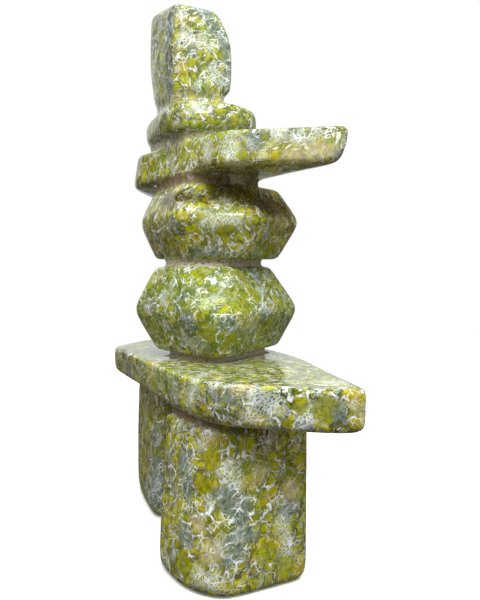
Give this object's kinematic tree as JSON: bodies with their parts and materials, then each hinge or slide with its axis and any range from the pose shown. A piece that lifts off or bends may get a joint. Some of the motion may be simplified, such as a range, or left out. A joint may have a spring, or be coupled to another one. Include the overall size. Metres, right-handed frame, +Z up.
{
  "type": "inuit inukshuk sculpture",
  "caption": "Tabletop stone figure of stacked slabs and faceted stones with arms and an upright head, cut from a block and polished; stands on its own feet.",
  "frame": {"origin": "on the floor, under the middle of the carving's length and breadth", "axes": "+Z up; the figure faces -Y; its arms and hip slab run along X, with the end nearest the viewer of the picture at +X"},
  "size_m": [0.1824, 0.0782, 0.2398],
  "materials": {
    "green_serpentine": "polished serpentine, olive cells in a net of white veins with grey-blue clouds; grooves left rough"
  },
  "bodies": {
    "root": {"inukshuk_carving": "green_serpentine"}
  },
  "joints": []
}
